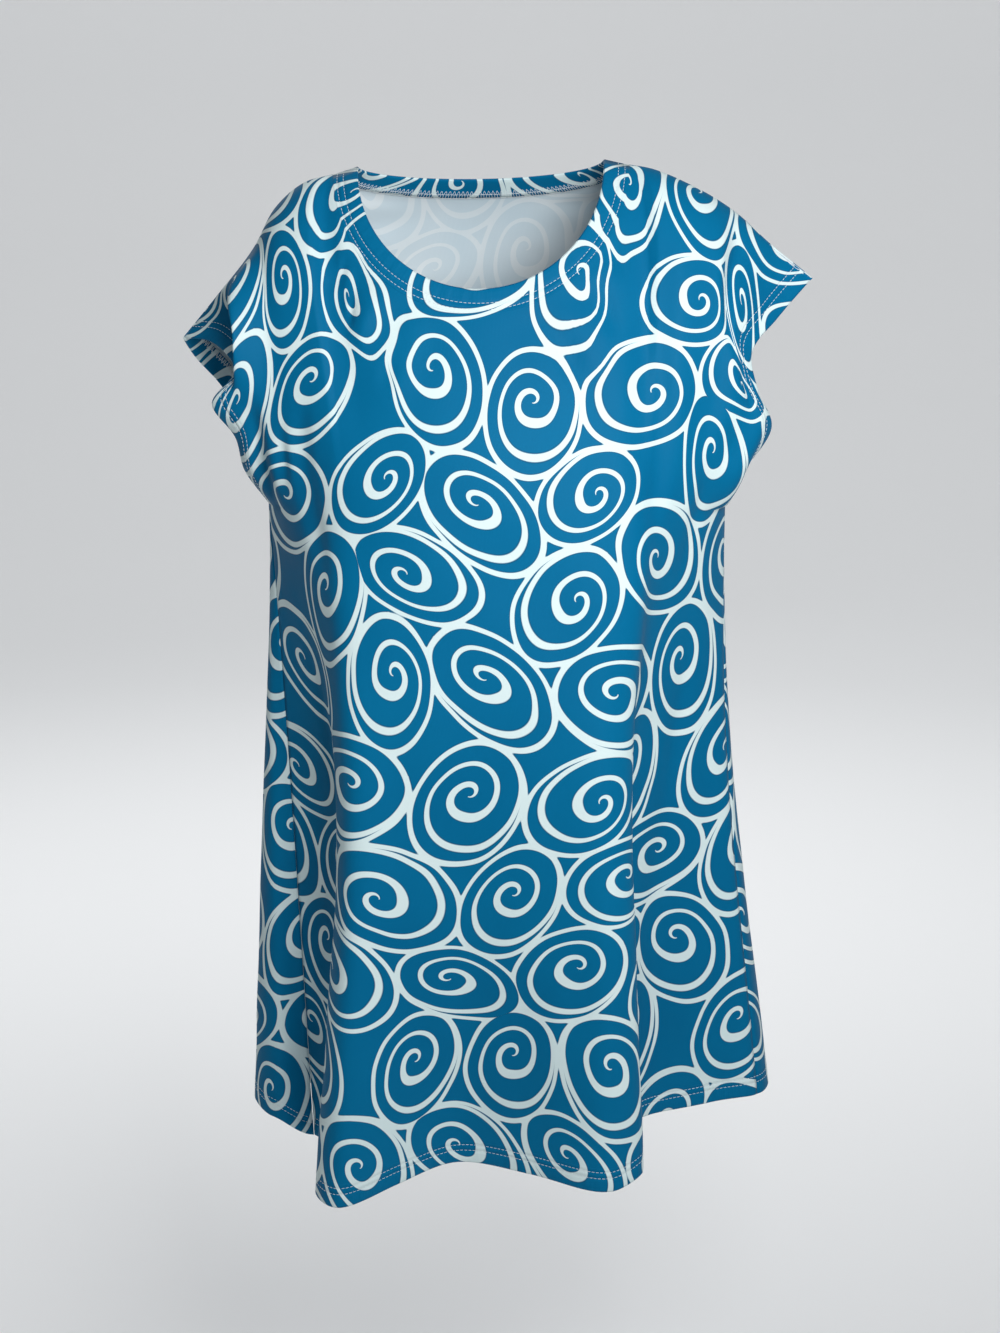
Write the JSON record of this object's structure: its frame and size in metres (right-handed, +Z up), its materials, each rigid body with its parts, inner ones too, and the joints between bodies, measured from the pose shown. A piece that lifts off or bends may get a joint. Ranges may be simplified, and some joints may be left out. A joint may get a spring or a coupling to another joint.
{
  "type": "t-shirt dress",
  "caption": "Knit T-shirt dress with a scoop neck, cap sleeves cut in one with the body, an A-line skirt and a print of spirals in ovals, hollow as if worn.",
  "frame": {"origin": "midway between the two shoulder seams at the height of the neck points, where the wearer's shoulders hold the dress", "axes": "+Z up, -Y out of the front of the dress, +X to the viewer's right when facing the front"},
  "size_m": [0.5321, 0.2519, 0.8762],
  "materials": {
    "printed_jersey": "satin",
    "jersey_wrong_side": "matte",
    "sewing_thread": "satin"
  },
  "bodies": {
    "root": {"front_panel": "printed_jersey", "back_panel": "printed_jersey", "front_neck_turn": "jersey_wrong_side", "front_hem_turn": "jersey_wrong_side", "front_left_sleeve_turn": "jersey_wrong_side", "front_right_sleeve_turn": "jersey_wrong_side", "back_neck_turn": "jersey_wrong_side", "back_hem_turn": "jersey_wrong_side", "back_left_sleeve_turn": "jersey_wrong_side", "back_right_sleeve_turn": "jersey_wrong_side"}
  },
  "joints": []
}
